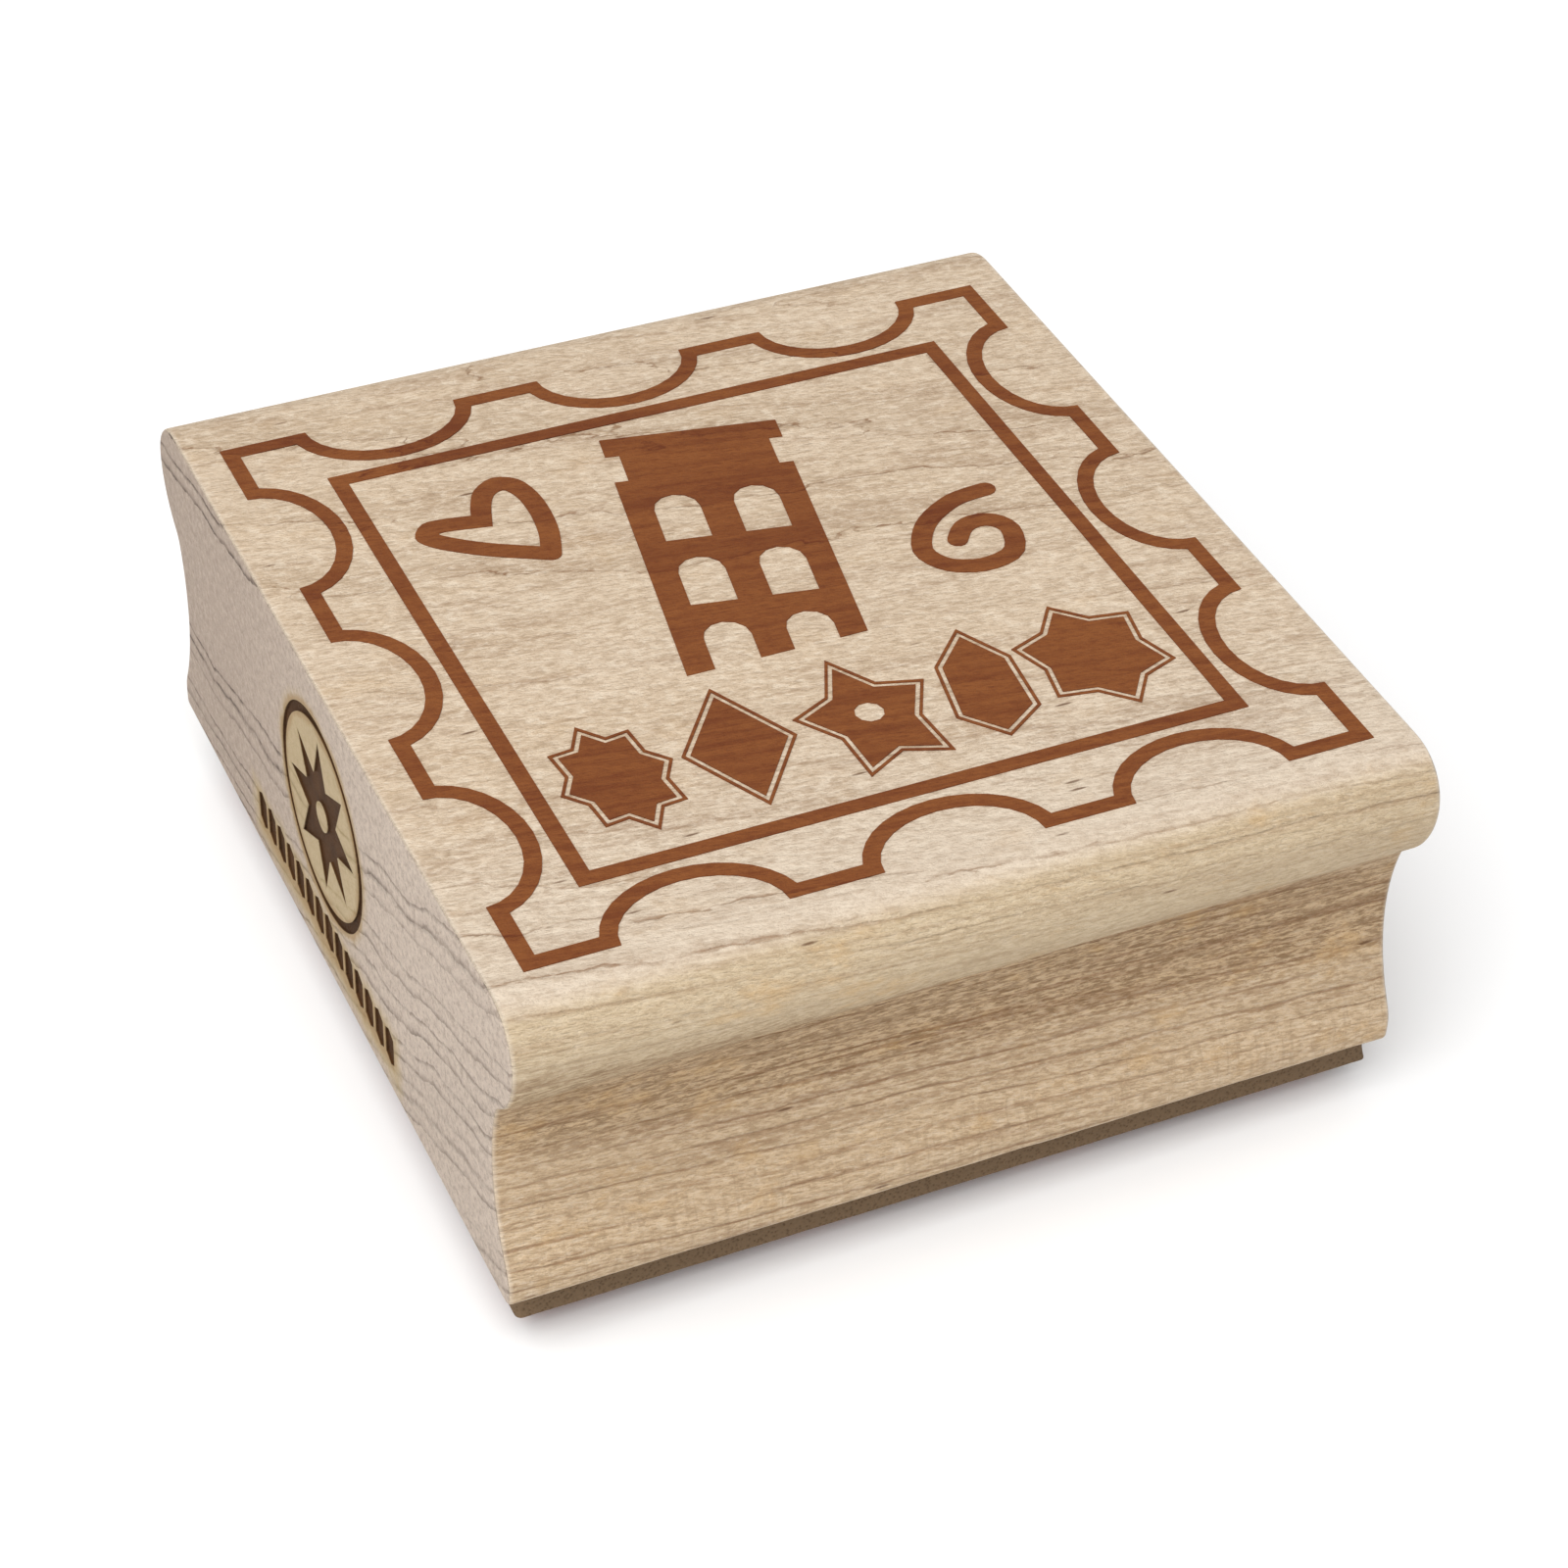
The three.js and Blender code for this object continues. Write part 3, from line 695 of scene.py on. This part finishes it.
def wood_mesh(bm):
    """The moulding run from end to end, with rounded arrises and a slightly ragged foot."""
    loop = moulding_loop()
    left, right = block_low.x, block_high.x
    turns = [math.pi / 2 * i / END_ARRIS_STEPS for i in range(END_ARRIS_STEPS + 1)]
    arris = [(END_ARRIS * (1 - math.cos(t)), END_ARRIS * (1 - math.sin(t))) for t in turns]
    straight = right - left - 2 * END_ARRIS
    count = round(straight / LENGTH_STEP)
    rings = [(left + x, cut) for x, cut in arris]
    rings += [(left + END_ARRIS + straight * i / count, 0.0) for i in range(1, count)]
    rings += [(right - x, cut) for x, cut in reversed(arris)]
    rows = []
    for x, cut in rings:
        row = []
        for p in inset(loop, cut):
            ragged = max(0.0, 1 - p.y / RAGGED_HEIGHT)
            lift = RAGGED_LIFT * ragged * (noise.noise(Vector((x * 260, p.x * 40, 0))) + 0.4)
            row.append(bm.verts.new((x, p.x, block_low.z + p.y + max(0.0, lift))))
        rows.append(row)
    for first, second in zip(rows, rows[1:]):
        skin(bm, first, second)
    bm.faces.new(rows[0])
    bm.faces.new(list(reversed(rows[-1])))


def mark_outlines():
    """Outlines of the burnt mark as seen from the left: across is -Y, up is Z above the block's foot."""
    middle = (0, RING_HEIGHT)
    inner = RING_RADIUS - RING_LINE
    rose_size = 2 * (inner - ROSE_CLEARANCE)
    ring = (arc(middle, RING_RADIUS, 0, 2 * math.pi, 96)[:-1], arc(middle, inner, 0, 2 * math.pi, 96)[:-1])
    rose = [p + Vector(middle) for p in star(8, ROSE_WAIST, rose_size, rose_size)]
    outlines = [ring, (rose, arc(middle, ROSE_EYE, 0, 2 * math.pi, 24)[:-1])]
    pitch = BAND_LENGTH / BAND_BEADS
    for i in range(BAND_BEADS):
        centre = Vector((BAND_SHIFT - BAND_LENGTH / 2 + pitch * (i + 0.5), BAND_BOTTOM + BAND_HEIGHT / 2))
        outlines.append(([p + centre for p in tablet(pitch * BEAD_FILL, BAND_HEIGHT, BEAD_POINT)], None))
    return outlines


def mark_cutter(bm):
    """All the mark's shapes as solids that reach into the left end by the mark's depth."""
    near, far = block_low.x - CUTTER_OVERHANG, block_low.x + MARK_DEPTH

    def wall(loop, x):
        return [bm.verts.new((x, MARK_SHIFT_Y - p.x, block_low.z + p.y)) for p in loop]

    for outline, hole in mark_outlines():
        outer = [wall(outline, near), wall(outline, far)]
        skin(bm, *outer)
        if hole is None:
            bm.faces.new(outer[0])
            bm.faces.new(outer[1])
            continue
        inner = [wall(hole, near), wall(hole, far)]
        skin(bm, *inner)
        for out, into in zip(outer, inner):
            edges = []
            for loop in (out, into):
                for i in range(len(loop)):
                    j = (i + 1) % len(loop)
                    edges.append(bm.edges.get((loop[i], loop[j])))
            bmesh.ops.triangle_fill(bm, use_beauty=True, edges=edges)


def cut_away(piece, cutter):
    tool = piece.modifiers.new("cut", "BOOLEAN")
    tool.operation = "DIFFERENCE"
    tool.solver = "EXACT"
    tool.object = cutter
    depsgraph = bpy.context.evaluated_depsgraph_get()
    cut = bpy.data.meshes.new_from_object(piece.evaluated_get(depsgraph))
    piece.modifiers.clear()
    piece.data = cut
    bpy.data.objects.remove(cutter)


def wood_block(material):
    block = make_piece("maple_block", wood_mesh, material)
    cutter = make_piece("mark_cutter", mark_cutter, material)
    cut_away(block, cutter)
    smooth_by_angle(block)
    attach(block, "mount")
    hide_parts("wood_block")


def foam_mesh(bm):
    """A slab cut with a knife: flat faces, and sides that pull in a little between them."""
    across, deep, tall = foam_high - foam_low
    outline = []
    for cx, cy, start in (
        (foam_high.x, foam_low.y, -0.5), (foam_high.x, foam_high.y, 0.0),
        (foam_low.x, foam_high.y, 0.5), (foam_low.x, foam_low.y, 1.0),
    ):
        middle = (cx - math.copysign(FOAM_CORNER, cx), cy - math.copysign(FOAM_CORNER, cy))
        outline += arc(middle, FOAM_CORNER, start * math.pi, (start + 0.5) * math.pi, 4)
    outline = evenly(outline, FOAM_STEP)
    rows = []
    for k in range(FOAM_LAYERS + 1):
        t = k / FOAM_LAYERS
        row = []
        for p in outline:
            rough = noise.noise(Vector((p.x * 500, p.y * 500, t * 3))) * FOAM_ROUGHNESS
            pull = FOAM_WAIST * math.sin(math.pi * t) + max(0.0, rough)
            x = p.x * (1 - pull * 2 / across)
            y = p.y * (1 - pull * 2 / deep)
            row.append(bm.verts.new((x, y, foam_low.z + tall * t)))
        rows.append(row)
    for first, second in zip(rows, rows[1:]):
        skin(bm, first, second)
    bm.faces.new(rows[0])
    bm.faces.new(rows[-1])


def foam_cushion(material):
    foam = make_piece("cushion_pad", foam_mesh, material)
    smooth_by_angle(foam)
    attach(foam, "mount")
    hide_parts("foam_cushion")
    travel = cushion_press["range_m"][1]
    tall = foam_high.z - foam_low.z
    (tall - travel) / tall
    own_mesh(foam)


def floor_piece(material):
    bm = bmesh.new()
    bmesh.ops.create_grid(bm, x_segments=4, y_segments=4, size=FLOOR_HALF)
    mesh = bpy.data.meshes.new("floor")
    bm.to_mesh(mesh)
    bm.free()
    floor = bpy.data.objects.new("floor", mesh)
    bpy.context.scene.collection.objects.link(floor)
    mesh.materials.append(material)


def finish_node(name, material):
    node = frame["nodes"][name]
    node.data.materials.clear()
    node.data.materials.append(material)


# ================= assembly =================
add_camera()
bpy.context.scene.view_settings.view_transform = "Standard"
light_the_room()
add_softbox()
floor_piece(pale_floor())

wood_block(maple())
ink = ink_on_maple()
adhesive = clear_adhesive()
for name in frame["nodes"]:
    if name.startswith("index_"):
        finish_node(name, ink)
    elif name.endswith("_adhesive"):
        finish_node(name, adhesive)
finish_node("rubber_die", stamp_rubber())
foam_cushion(cushion_foam())
